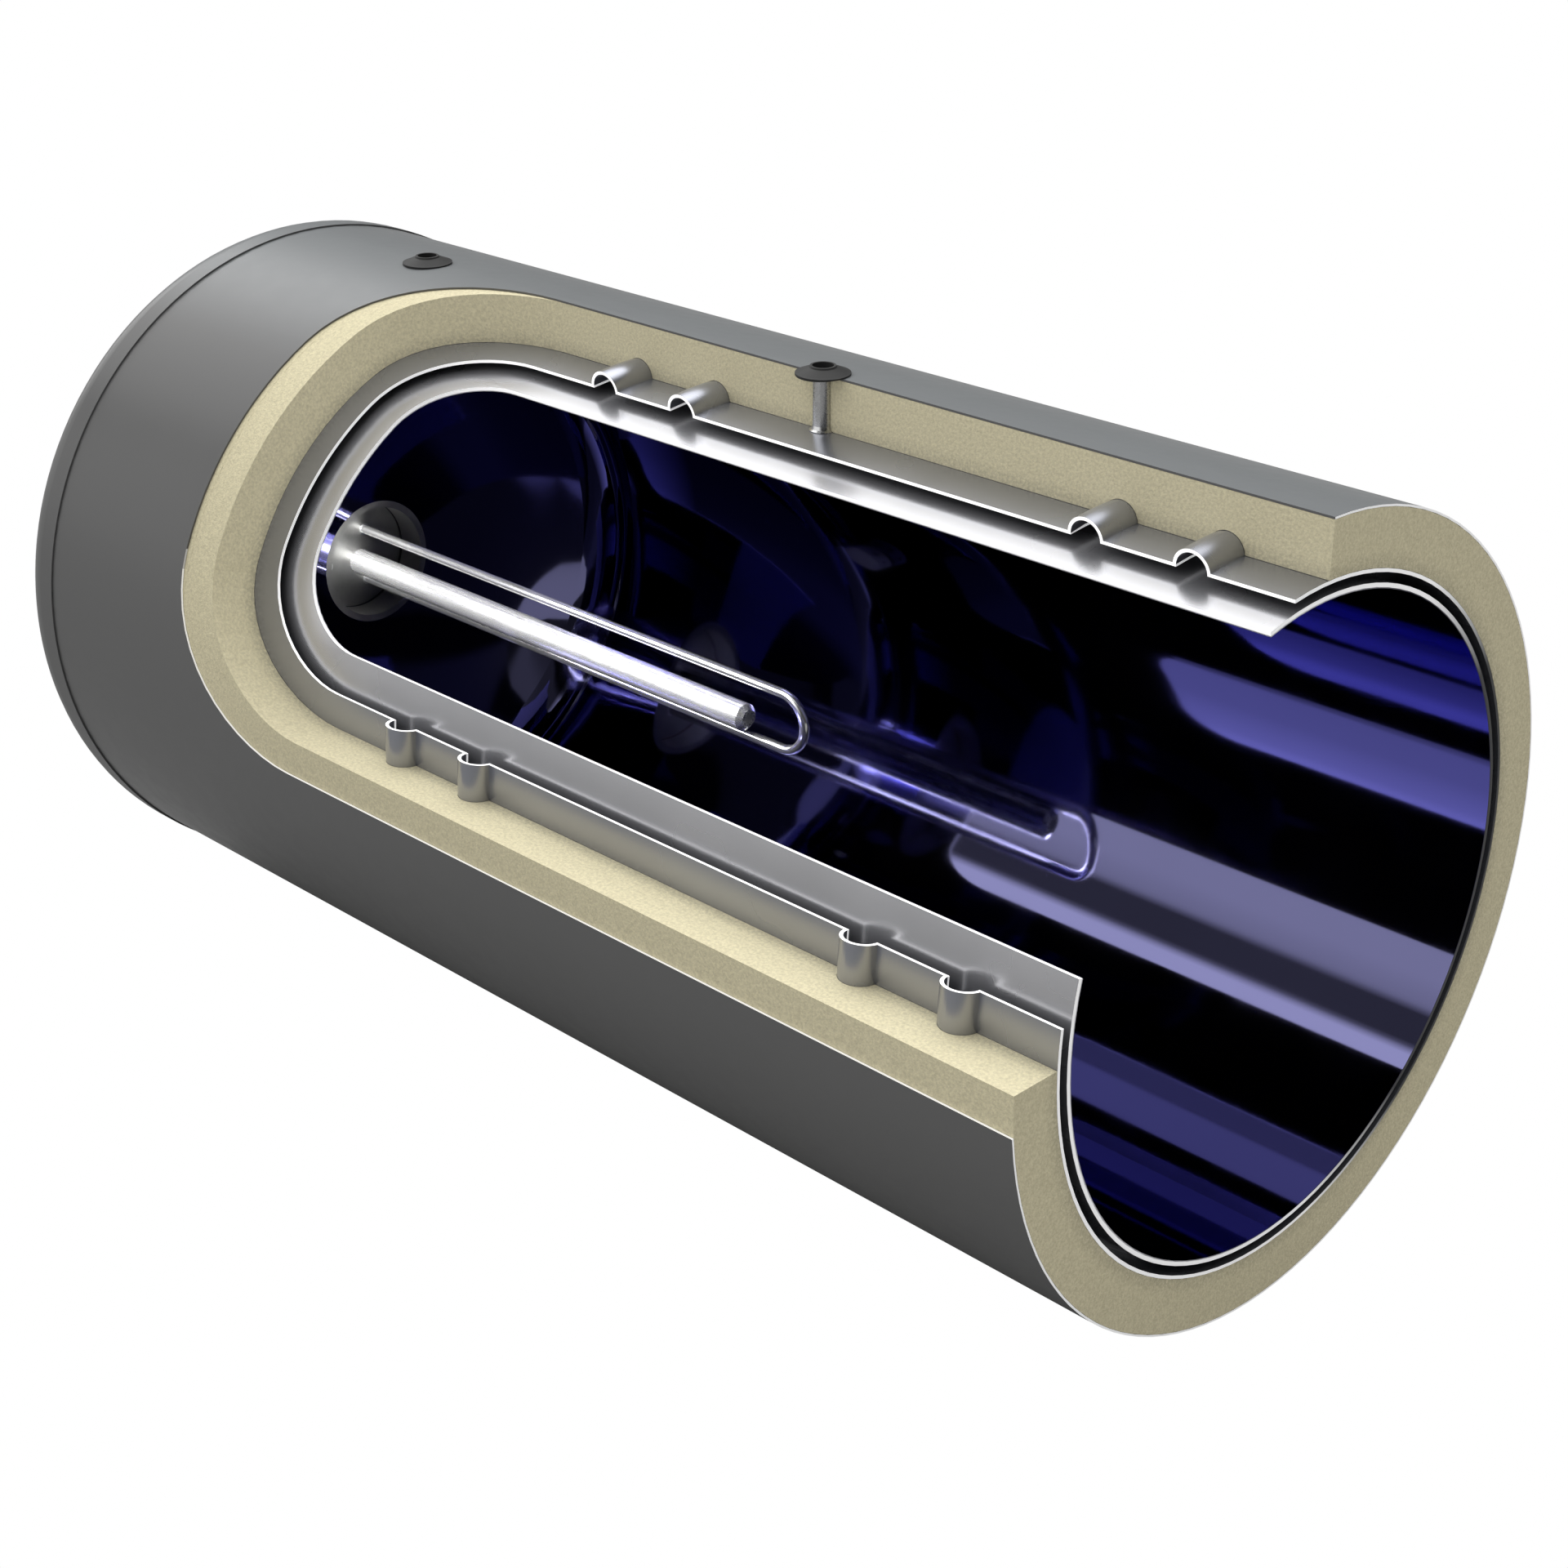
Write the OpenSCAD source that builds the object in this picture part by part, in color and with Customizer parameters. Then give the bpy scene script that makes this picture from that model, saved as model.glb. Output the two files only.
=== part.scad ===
// Horizontal solar water heater tank, cut away in steps to show its layers.
// The tank's axis runs along X at height axis_z, and every shell is turned about it.
// X = 0 is midway between the end cap's seam and the section plane; Z = 0 is the faces of the feet.
// A distance "from the seam" is measured along the axis, from the edge of the end cap into the tank.
// Window angles are measured about the axis: 0 faces the front (-Y), 90 is the top (+Z).

/* [Casing] */
// Outside diameter of the sheet casing
casing_d = 580; // [500:1:640]
// Length from the end cap's seam to the section plane
casing_len = 1062; // [900:1:1300]
// Sheet thickness of the casing
casing_wall = 1.5; // [0.8:0.1:3]
// Length of casing that the end cap covers
cap_overlap = 12; // [8:0.5:16]

/* [End cap] */
// Sheet thickness of the end cap
cap_wall = 1.3; // [0.8:0.1:3]
// Straight rim of the end cap
cap_skirt = 17.5; // [16.5:0.5:30]
// Outside radius of the end cap's rounded edge
cap_knuckle = 29; // [15:1:40]
// Depth of the end cap beyond its straight rim
cap_depth = 48.5; // [42:0.5:60]
// Diameter of the flat seat raised in the middle of the end cap
seat_d = 300; // [290:1:330]
// Height of the seat above the crown of the end cap
seat_rise = 2; // [1:0.5:8]
// Diameter of the service opening in the end cap
service_d = 192; // [184:1:200]

/* [Heating jacket] */
// Thickness of the foam between the casing and the jacket
foam_t = 40.5; // [32:0.5:60]
// Sheet thickness of the jacket
jacket_wall = 2.5; // [1.5:0.1:4]
// Where the jacket reaches its full diameter, from the seam
jacket_from = 200; // [196:1:206]
// Length of the cone that closes the jacket onto the tank
jacket_close = 12; // [8:1:16]
// Width of a swaged rib
rib_w = 29.5; // [20:0.5:34]
// Height of a swaged rib
rib_h = 13.2; // [8:0.1:15]
// Length from a pair's first rib to its second rib
rib_step_len = 86; // [60:1:110]
// Length from the seam to the first pair of ribs
ribs_from = 425; // [400:1:450]
// Length from the last rib to the section plane
ribs_end_len = 79; // [60:1:95]

/* [Inner tank] */
// Gap between the jacket and the inner tank, for the heating fluid
jacket_gap = 7; // [5:0.5:12]
// Plate thickness of the inner tank
tank_wall = 3; // [2:0.1:5]
// Thickness of the glass enamel lining
enamel_t = 0.7; // [0.3:0.1:1]
// Where the cylinder meets the dished head, from the seam
head_from = 150; // [146:1:156]
// Depth of the dished head
head_depth = 92; // [86:1:96]
// Outside radius of the head's knuckle
head_knuckle = 48; // [40:1:60]

/* [Windows] */
// Left edge of the window in the casing, from the seam
casing_cut = 182; // [178:1:200]
// Left edge of the cut in the foam, from the seam
foam_cut = 220; // [215:1:235]
// Left edge of the window in the jacket, from the seam
jacket_cut = 245; // [240:1:260]
// Left edge of the window in the tank, from the seam
tank_cut = 273; // [265:1:300]
// Lower and upper edge angles of the window in the casing
casing_span = [-6, 90];
// Lower and upper edge angles of the cut in the foam
foam_span = [0, 90];
// Lower and upper edge angles of the window in the jacket
jacket_span = [6.5, 81.6];
// Lower and upper edge angles of the window in the tank
tank_span = [13.8, 75.4];
// Corner radius of the window in the casing
casing_corner = 145; // [100:1:160]
// Corner radius of the cut in the foam
foam_corner = 122; // [80:1:140]
// Corner radius of the window in the jacket
jacket_corner = 96; // [60:1:110]
// Corner radius of the window in the tank
tank_corner = 72; // [40:1:90]

/* [Flange] */
// Bore of the neck in the dished head
neck_bore = 100; // [96:1:104]
// Wall of the neck
neck_wall = 6; // [4:0.5:8]
// Inner end of the neck, from the seam
neck_rim = 65; // [64:0.5:66]
// Outside diameter of the flange and its cover plate
flange_d = 176; // [168:1:180]
// Thickness of the welded flange
flange_t = 12; // [10:0.5:14]
// Inner face of the cover plate, from the seam
plate_face = 34; // [32:0.5:36]
// Thickness of the cover plate
plate_t = 10; // [8:0.5:12]
// Thickness of the flange gasket
gasket_t = 3; // [1:0.5:4]
// Number of flange studs
stud_count = 6; // [4:1:8]
// Pitch circle of the flange studs
stud_pcd = 150; // [140:1:152]
// Thread diameter of the flange studs
stud_d = 8; // [6:1:10]
// Length of a stud beyond the cover plate
stud_out = 14; // [12:0.5:16]

/* [Heating element] */
// Diameter of the sheathed heating tube
tube_d = 8; // [6:0.5:10]
// Distance between the two legs of the heating tube
leg_gap = 47.5; // [40:0.5:52]
// Sideways place of the heating tube
tube_y = 11; // [10:0.5:16]
// Height of the middle of the heating tube above the axis
tube_z = -3.7; // [-6:0.1:0]
// Centre of the heating tube's bend, from the seam
bend_from = 571; // [450:1:700]

/* [Anode] */
// Diameter of the sacrificial anode rod
anode_d = 22.5; // [16:0.5:26]
// Length of the anode rod
anode_len = 506; // [300:1:530]
// Diameter of the anode's steel core
core_d = 8; // [6:0.5:10]
// Sideways place of the anode
anode_y = 4; // [2:0.5:4]
// Height of the anode above the axis
anode_z = -9; // [-10:0.1:-8]

/* [Connections] */
// Outside diameter of a pipe stub
pipe_d = 15; // [12:1:18]
// Wall of a pipe stub
pipe_wall = 1; // [0.8:0.1:1.5]
// Outside diameter of a port collar
collar_d = 41; // [34:1:46]
// Height of a port collar above the casing
collar_h = 6.5; // [4:0.5:10]
// Bore of a port collar
collar_bore = 16; // [15.5:0.1:20]
// Hot water outlet on top and cold water inlet below, from the seam
water_port = 165; // [160:1:168]
// Jacket port on top, from the seam
jacket_port = 623; // [560:1:700]
// Jacket port below, from the seam
return_port = 330; // [300:1:360]
// Diameter of the cold water diffuser
diffuser_d = 44; // [36:1:50]
// Height of the cold water diffuser
diffuser_h = 22; // [16:1:30]

/* [Feet] */
// Length from the seam to the left foot, and from the right foot to the section plane
foot_from = 231; // [228:1:260]
// Diameter of a foot
foot_d = 36; // [28:1:40]
// Drop of a foot's face below the casing
foot_drop = 15; // [12:1:30]
// Diameter of the tapped hole in a foot, before threading
foot_hole = 8.5; // [6:0.1:12]
// Depth of the tapped hole in a foot
foot_hole_deep = 30; // [20:1:40]

/* [Electrics] */
// Inside diameter of the electrical pan
pan_d = 270; // [266:1:276]
// Wall of the electrical pan
pan_wall = 2; // [1:0.5:3]
// Size of the thermostat body: along the tank, across and up
thermostat_box = [34, 52, 60];
// Diameter of the thermostat knob
knob_d = 30; // [20:1:36]
// Height of the thermostat knob
knob_h = 12; // [8:1:18]
// Diameter of the reset button
reset_d = 7; // [5:0.5:9]
// Travel of the reset button
reset_travel = 2; // [1:0.5:3]
// Diameter of the service cover
cover_d = 216; // [212:1:220]
// Wall of the service cover
cover_wall = 2.5; // [2:0.1:3]
// Height of the service cover's raised middle
cover_rise = 7; // [3:0.5:12]
// Bore of the cable gland
gland_bore = 8; // [6:0.5:10]

/* [Hidden] */
$fn = 96;
overshoot = 2;                      // how far a cutter passes a face that it cuts through
fit = 0.1;                          // clearance round a piece that is fixed in a hole
bond = 0.2;                         // clearance between two shells that lie on each other
slip = 0.3;                         // clearance beside a piece that moves

window_pass = 6;                    // how far a window's cutter passes the two faces of its shell
collar_to = jacket_from - jacket_close; // end of the foam collar round the head, from the seam

casing_r = casing_d / 2;
casing_in_r = casing_r - casing_wall;
jacket_r = casing_in_r - foam_t;
tank_r = jacket_r - jacket_wall - jacket_gap;
tank_in_r = tank_r - tank_wall;
neck_r = neck_bore / 2;
seam_x = -casing_len / 2;
axis_z = casing_r + foot_drop;
foot_pitch = casing_len - 2 * foot_from;

cap_r = casing_r + bond + cap_wall;
cap_crown = cap_skirt + cap_depth;
seat_from = -cap_crown - seat_rise;
seat_under = seat_from + cap_wall;
seal_t = 2;                         // thickness of the rubber channel inside the casing
seal_lip = 3;                       // thickness of the rubber channel over the casing's edge
screw_reach = 8;                    // length of a cover screw behind the seat
screw_head_h = 2.4;
cover_screw_d = 4;
cover_screws_n = 4;
cover_screw_r = (service_d + cover_d) / 4;
cover_seal_t = 1.5;
cover_lap = 3;                      // width of the cover's rim inside the service opening
cover_slope = 14;                   // width of the slope up to the cover's raised middle
rivet_wall = 2;
rivet_l = 6;
gland_z = -122;
gland_d = 16;
gland_hex = 20;
gland_hex_h = 6;
gland_nut_l = 14;
gland_cone = 4;
gland_thread_l = 12;
locknut_h = 4;

seat_out = plate_face - plate_t;    // outer face of the cover plate, from the seam
flange_from = plate_face + gasket_t;
flange_to = flange_from + flange_t;
pan_r = pan_d / 2 + pan_wall;
nut_washer_t = 1.6;
nut_h = 6.5;
nut_af = 13;
stud_start = 30;                    // angle of the first stud
foot_edge = 9;                      // width of a foot's collar
foot_collar_t = 3;

pin_d = 4;
pin_af = 7;
pin_nut_h = 3.2;
ceramic_d = 10;
ceramic_l = 8;
tube_out = 12;                      // length of the heating tube beyond the cover plate
pin_out = 18;                       // length of a terminal pin beyond the heating tube
bush_d = 14;
bush_neck_d = 11;
bush_h = 5;

well_y = -40;
well_z = 0;
well_d = 9;
well_bore = 6.2;
well_in = 13;                       // length of the sensor pocket inside the cover plate
well_head_d = 18;
well_head_h = 6;
sensor_d = 6;
thermostat_gap = 8;                 // space between the studs' ends and the thermostat body
knob_y = well_y;
knob_z = 9;
reset_z = -19;
reset_proud = 3;
reset_deep = 5;
shaft_d = 6;
shaft_l = 6;
shaft_fit = 0.05;                   // radial running clearance of the knob's shaft

block_size = [20, 24, 52];
block_gap = 40;                     // space between the neck's wall and the terminal block
block_screws = 3;
block_screw_d = 6;
block_screw_sunk = 3;
block_well_d = 6.4;
block_well_deep = 8;
lead_hole_d = 4.8;
lead_hole_deep = 12;
slot_w = 1;                         // screwdriver slots
slot_deep = 1;
earth_y = 40;
earth_z = 14;
earth_d = 5;
earth_out = 14;
earth_af = 8;
earth_hex_h = 5;

outlet_in = 3;                      // how far the hot outlet's pipe reaches into the tank
inlet_in = 12;                      // the same for the cold inlet's pipe
diffuser_gap = 4;                   // space between the tank's wall and the diffuser
diffuser_wall = 1.5;
diffuser_jets = 8;
jet_d = 7;

casing_color = [0.45, 0.46, 0.46];
foam_color = [0.86, 0.82, 0.69];
steel_color = [0.72, 0.73, 0.74];
enamel_color = [0.07, 0.07, 0.25];
collar_color = [0.24, 0.24, 0.24];
rubber_color = [0.12, 0.12, 0.12];
plastic_color = [0.85, 0.85, 0.83];
brass_color = [0.78, 0.62, 0.32];
zinc_color = [0.66, 0.68, 0.66];
ceramic_color = [0.93, 0.91, 0.86];
red_color = [0.75, 0.12, 0.10];
blue_color = [0.15, 0.28, 0.62];
earth_color = [0.55, 0.68, 0.15];

// Place in the frame of a distance from the seam
function at(from_seam) = seam_x + from_seam;

// Puts children on a line along the tank, at a distance from the seam, with their Z along +X.
module on_axis(from_seam, y = 0, z = 0) {
    translate([at(from_seam), y, axis_z + z]) rotate([0, 90, 0]) children();
}

// Solid cylinder along the tank between two distances from the seam.
module bar(r, from, to, y = 0, z = 0) {
    on_axis(from, y, z) cylinder(r = r, h = to - from);
}

// Hollow cylinder along the tank.
module sleeve(r, bore_r, from, to, y = 0, z = 0) {
    difference() {
        bar(r, from, to, y, z);
        bar(bore_r, from - overshoot, to + overshoot, y, z);
    }
}

// Hexagonal bar along the tank, across flats af.
module hex_bar(af, from, to, y = 0, z = 0) {
    on_axis(from, y, z) cylinder(d = af / cos(30), h = to - from, $fn = 6);
}

// Turns a 2D outline of [radius, distance from the seam] about the tank's axis.
module turned() {
    on_axis(0) rotate_extrude() children();
}

// Copies children to the flange studs' places.
module at_studs() {
    for (i = [0 : stud_count - 1])
        translate([0, stud_pcd / 2 * cos(stud_start + i * 360 / stud_count),
                   stud_pcd / 2 * sin(stud_start + i * 360 / stud_count)]) children();
}

// Copies children to the cover screws' places.
module at_cover_screws() {
    for (i = [0 : cover_screws_n - 1])
        translate([0, cover_screw_r * cos(45 + i * 360 / cover_screws_n),
                   cover_screw_r * sin(45 + i * 360 / cover_screws_n)]) children();
}

// Copies children to the two ends of the heating tube.
module at_legs() {
    for (side = [-1, 1]) translate([0, tube_y, tube_z + side * leg_gap / 2]) children();
}

// Puts children on the vertical line of a port, with their Z pointing out of the tank.
module on_top(from_seam) {
    translate([at(from_seam), 0, axis_z]) children();
}

module underneath(from_seam) {
    translate([at(from_seam), 0, axis_z]) rotate([180, 0, 0]) children();
}

// Dished end: radius r, knuckle radius k, depth d. The knuckle is tangent to the wall, and it
// stands out of the crown's arc by dish_lap, so that the two arcs cross near their tangent point.
dish_lap = 0.02;
function crown_r(r, k, d) =
    (d * d + (r - k) * (r - k) - (k - dish_lap) * (k - dish_lap)) / (2 * (d - k + dish_lap));

// Half outline of the solid inside a dished end whose wall line ends at 0 and whose crown is at -d.
module dish_outline(r, k, d) {
    c = crown_r(r, k, d);
    reach = c * (r - k) / (c - k + dish_lap);
    intersection() {
        translate([0, c - d]) circle(r = c, $fn = 360);
        translate([0, -d - overshoot]) square([reach, d + overshoot]);
    }
    intersection() {
        translate([r - k, 0]) circle(r = k);
        translate([r - k, -k]) square([k, k]);
    }
}

// Solid that a dished vessel's outside fills: its wall runs from the head to another distance.
module vessel(r, k, d, head_at, to) {
    turned() {
        translate([0, head_at]) dish_outline(r, k, d);
        translate([0, head_at]) square([r, to - head_at]);
    }
}

module tank_outside(grow, to) {
    vessel(tank_r + grow, head_knuckle + grow, head_depth + grow, head_from, to);
}

// Outside of the jacket as a solid, ribs and closing cone included.
module jacket_outside(grow, to) {
    turned() polygon([
        [0, jacket_from - jacket_close], [tank_r + grow, jacket_from - jacket_close - grow],
        [jacket_r + grow, jacket_from - grow], [jacket_r + grow, to], [0, to]
    ]);
    rib_rings(grow);
}

// A rib's arc passes through its two feet and its crest.
rib_arc = (rib_w * rib_w / 4 + rib_h * rib_h) / (2 * rib_h);
last_rib = casing_len - ribs_end_len;
rib_places = [ribs_from, ribs_from + rib_step_len, last_rib - rib_step_len, last_rib];

module rib_rings(grow) {
    for (place = rib_places)
        turned() translate([jacket_r + rib_h - rib_arc, place]) circle(r = rib_arc + grow);
}

// Rows of a window's outline as [distance from the seam, angle]: round corner, left edge, round corner.
corner_rows = 14;
edge_rows = 8;
function degrees(length, r) = length / r * 180 / PI;
function corner_row(left, corner, turn) = left + corner * (1 - sin(turn));
function corner_rise(corner, turn, r) = degrees(corner * (1 - cos(turn)), r);
function window_rows(left, span, corner, r) =
    let (bend = degrees(corner, r), straight = span[1] - span[0] - 2 * bend)
    concat(
        [for (i = [0 : corner_rows]) let (turn = 90 * i / corner_rows)
            [corner_row(left, corner, turn), span[0] + corner_rise(corner, turn, r)]],
        [for (i = [1 : edge_rows - 1]) [left, span[0] + bend + straight * i / edge_rows]],
        [for (i = [corner_rows : -1 : 0]) let (turn = 90 * i / corner_rows)
            [corner_row(left, corner, turn), span[1] - corner_rise(corner, turn, r)]]
    );

function round_axis(from_seam, r, angle) =
    [at(from_seam), -r * cos(angle), axis_z + r * sin(angle)];

// Cutter for a window in a shell of radius r. Its walls are square to the shell all round.
module window(left, span, corner, r, r_in, r_out) {
    rows = window_rows(left, span, corner, r);
    n = len(rows) - 1;
    beyond = casing_len + overshoot;
    points = [for (row = rows) each [
        round_axis(row[0], r_in, row[1]), round_axis(row[0], r_out, row[1]),
        round_axis(beyond, r_out, row[1]), round_axis(beyond, r_in, row[1])
    ]];
    sides = [for (i = [0 : n - 1]) let (a = 4 * i, b = 4 * i + 4) each [
        [a, b + 1, a + 1], [a, b, b + 1],
        [a + 1, b + 1, b + 2, a + 2], [a + 2, b + 2, b + 3, a + 3], [a + 3, b + 3, b, a]
    ]];
    ends = [[0, 1, 2, 3], [4 * n + 3, 4 * n + 2, 4 * n + 1, 4 * n]];
    polyhedron(points = points, faces = concat(sides, ends), convexity = 6);
}

module casing_window() {
    window(casing_cut, casing_span, casing_corner, casing_r,
           casing_in_r - window_pass, casing_r + window_pass);
}

module foam_window() {
    window(foam_cut, foam_span, foam_corner, casing_r, jacket_r - window_pass, casing_r + window_pass);
}

module jacket_window() {
    window(jacket_cut, jacket_span, jacket_corner, jacket_r,
           jacket_r - jacket_wall - window_pass, jacket_r + rib_h + window_pass);
}

module tank_window() {
    window(tank_cut, tank_span, tank_corner, tank_r,
           tank_in_r - enamel_t - window_pass, tank_r + window_pass);
}

// Round holes that let the pipe stubs through the wall between two radii.
module port_holes(places_up, places_down, in_r, out_r, d) {
    hole_l = out_r - in_r + 2 * overshoot;
    for (place = places_up) on_top(place) translate([0, 0, in_r - overshoot]) cylinder(d = d, h = hole_l);
    for (place = places_down)
        underneath(place) translate([0, 0, in_r - overshoot]) cylinder(d = d, h = hole_l);
}

module foot_holes(r) {
    for (side = [-1, 1])
        translate([side * foot_pitch / 2, 0, 0]) cylinder(r = r, h = axis_z - jacket_r + overshoot);
}

module casing_shell() {
    color(casing_color) difference() {
        bar(casing_r, -cap_overlap, casing_len);
        bar(casing_in_r, -cap_overlap - overshoot, casing_len + overshoot);
        casing_window();
        port_holes([water_port, jacket_port], [water_port, return_port], casing_in_r, casing_r, collar_bore);
        foot_holes(foot_d / 2 + fit);
    }
}

// Outline of the end cap's outside, or of its inside when drawn thinner by its wall.
module cap_outline(thin, to) {
    translate([0, -cap_skirt]) dish_outline(cap_r - thin, cap_knuckle - thin, cap_depth - thin);
    translate([0, -cap_skirt]) square([cap_r - thin, cap_skirt + to]);
    translate([0, seat_from + thin]) square([seat_d / 2 - thin, cap_depth - thin + seat_rise]);
}

module end_cap() {
    color(casing_color) difference() {
        turned() difference() {
            cap_outline(0, 0);
            cap_outline(cap_wall, overshoot);
        }
        bar(service_d / 2, seat_from - overshoot, seat_under + overshoot);
        at_cover_screws() bar(cover_screw_d / 2 + slip, seat_from - overshoot, seat_under + overshoot);
        bar(gland_d / 2 + fit, seat_from - overshoot, seat_under + overshoot, z = gland_z);
    }
}

// Rubber channel on the casing's edge under the end cap.
module cap_seal() {
    color(rubber_color) sleeve(casing_r, casing_in_r - seal_t, -cap_overlap - seal_lip, -cap_overlap);
}

// Moulded foam collar round the dished head. It ends where the jacket begins.
module head_foam() {
    color(foam_color) difference() {
        bar(casing_in_r - bond, 0, collar_to);
        tank_outside(bond, jacket_from);
        bar(neck_r + neck_wall + bond, flange_to - overshoot, neck_rim);
        bar(pan_r + fit, -overshoot, flange_to + pan_wall + fit);
        port_holes([water_port], [water_port], tank_r, casing_r, pipe_d + 2 * fit);
    }
}

// Foam between the casing and the jacket.
module insulation_foam() {
    color(foam_color) difference() {
        bar(casing_in_r - bond, collar_to + bond, casing_len);
        tank_outside(bond, jacket_from);
        jacket_outside(bond, casing_len + overshoot);
        foam_window();
        port_holes([jacket_port], [return_port], jacket_r, casing_r, pipe_d + 2 * fit);
        on_top(jacket_port) flare(fit);
        underneath(return_port) flare(fit);
        foot_holes(foot_d / 2 + fit);
    }
}

module cap_foam() {
    color(foam_color) difference() {
        intersection() {
            turned() cap_outline(cap_wall + bond, 0);
            bar(casing_in_r - bond, -cap_crown - overshoot, 0);
        }
        sleeve(cap_r, casing_in_r - seal_t - bond, -cap_overlap - seal_lip - bond, 0);
        bar(pan_r + fit, -cap_crown - seat_rise - overshoot, overshoot);
    }
}

module jacket_shell() {
    color(steel_color) difference() {
        jacket_outside(0, casing_len);
        turned() polygon([
            [0, jacket_from - jacket_close - overshoot],
            [tank_r + bond, jacket_from - jacket_close - overshoot],
            [tank_r + bond, jacket_from - jacket_close + 1.5 * jacket_wall],
            [jacket_r - jacket_wall, jacket_from + jacket_wall / 2],
            [jacket_r - jacket_wall, casing_len + overshoot], [0, casing_len + overshoot]
        ]);
        rib_rings(-jacket_wall);
        jacket_window();
        port_holes([jacket_port], [return_port], jacket_r - jacket_wall, jacket_r, pipe_d + 2 * fit);
    }
}

module inner_tank() {
    color(steel_color) difference() {
        bar(tank_r, head_from, casing_len);
        bar(tank_in_r, head_from - overshoot, casing_len + overshoot);
        tank_window();
        port_holes([water_port], [water_port], tank_in_r, tank_r, pipe_d + 2 * fit);
    }
}

module tank_head() {
    color(steel_color) difference() {
        turned() translate([0, head_from]) difference() {
            dish_outline(tank_r, head_knuckle, head_depth);
            dish_outline(tank_in_r, head_knuckle - tank_wall, head_depth - tank_wall);
        }
        bar(neck_r + neck_wall + fit, flange_to, head_from);
    }
}

// Fused glass coat on the inside of the cylinder and the head.
module enamel_lining() {
    out_r = tank_in_r - fit / 2;
    in_r = out_r - enamel_t;
    out_k = head_knuckle - tank_wall;
    out_d = head_depth - tank_wall - fit / 2;
    color(enamel_color) difference() {
        vessel(out_r, out_k, out_d, head_from, casing_len);
        vessel(in_r, out_k - enamel_t, out_d - enamel_t, head_from, casing_len + overshoot);
        bar(neck_r + neck_wall + fit, flange_to, head_from);
        tank_window();
        port_holes([water_port], [water_port], in_r, tank_in_r, pipe_d + 2 * fit);
    }
}

// Welded neck with its flange, tapped for the studs.
module neck_flange() {
    color(steel_color) difference() {
        union() {
            bar(neck_r + neck_wall, flange_from, neck_rim);
            bar(flange_d / 2, flange_from, flange_to);
        }
        bar(neck_r, flange_from - overshoot, neck_rim + overshoot);
        at_studs() bar(stud_d / 2 + fit, flange_from - overshoot, flange_to - 2);
    }
}

module flange_studs() {
    color(zinc_color) at_studs() bar(stud_d / 2, seat_out - stud_out, flange_to - 2);
}

module flange_gasket() {
    color(rubber_color) difference() {
        sleeve(flange_d / 2, neck_r, plate_face, flange_from);
        at_studs() bar(stud_d / 2 + slip, plate_face - overshoot, flange_from + overshoot);
    }
}

module flange_plate() {
    color(steel_color) difference() {
        bar(flange_d / 2, seat_out, plate_face);
        at_studs() bar(stud_d / 2 + slip, seat_out - overshoot, plate_face + overshoot);
        at_legs() bar(bush_neck_d / 2 + fit, seat_out - overshoot, plate_face + overshoot);
        bar(core_d / 2 + fit, seat_out - overshoot, plate_face + overshoot, anode_y, anode_z);
        bar(well_d / 2 + fit, seat_out - overshoot, plate_face + overshoot, well_y, well_z);
        bar(earth_d / 2 + fit, seat_out - overshoot, seat_out + plate_t / 2, earth_y, earth_z);
    }
}

module flange_washers() {
    color(zinc_color) at_studs() sleeve(stud_d, stud_d / 2 + fit, seat_out - nut_washer_t, seat_out);
}

module flange_nuts() {
    nut_to = seat_out - nut_washer_t;
    color(zinc_color) at_studs() difference() {
        hex_bar(nut_af, nut_to - nut_h, nut_to);
        bar(stud_d / 2 + fit, nut_to - nut_h - overshoot, nut_to + overshoot);
    }
}

// Hairpin heating tube: two legs joined by a half ring.
module heating_tube() {
    color(steel_color) union() {
        at_legs() bar(tube_d / 2, seat_out - tube_out, bend_from);
        on_axis(bend_from, tube_y, tube_z) rotate([90, 0, 0])
            rotate_extrude(angle = 180) translate([leg_gap / 2, 0]) circle(d = tube_d);
    }
}

module tube_bushings() {
    color(brass_color) at_legs() difference() {
        union() {
            bar(bush_d / 2, seat_out - bush_h, seat_out);
            bar(bush_neck_d / 2, seat_out, plate_face);
        }
        bar(tube_d / 2 + fit, seat_out - bush_h - overshoot, plate_face + overshoot);
    }
}

module terminal_insulators() {
    tube_end = seat_out - tube_out;
    color(ceramic_color) at_legs() sleeve(ceramic_d / 2, pin_d / 2 + fit, tube_end - ceramic_l, tube_end);
}

module terminal_pins() {
    tube_end = seat_out - tube_out;
    color(zinc_color) at_legs() bar(pin_d / 2, tube_end - pin_out, tube_end);
}

module terminal_nuts() {
    nut_to = seat_out - tube_out - ceramic_l;
    color(brass_color) at_legs() difference() {
        hex_bar(pin_af, nut_to - pin_nut_h, nut_to);
        bar(pin_d / 2 + fit, nut_to - pin_nut_h - overshoot, nut_to + overshoot);
    }
}

anode_chamfer = 4;
core_sunk = 0.5;                    // depth of the core's end below the anode's end face

module anode_rod() {
    color(steel_color) difference() {
        union() {
            bar(anode_d / 2, plate_face, plate_face + anode_len - anode_chamfer, anode_y, anode_z);
            on_axis(plate_face + anode_len - anode_chamfer, anode_y, anode_z)
                cylinder(r1 = anode_d / 2, r2 = anode_d / 2 - anode_chamfer, h = anode_chamfer);
        }
        bar(core_d / 2 + fit, plate_face - overshoot, plate_face + anode_len + overshoot, anode_y, anode_z);
    }
}

module anode_core() {
    color(steel_color)
        bar(core_d / 2, seat_out - stud_out, plate_face + anode_len - core_sunk, anode_y, anode_z);
}

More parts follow.
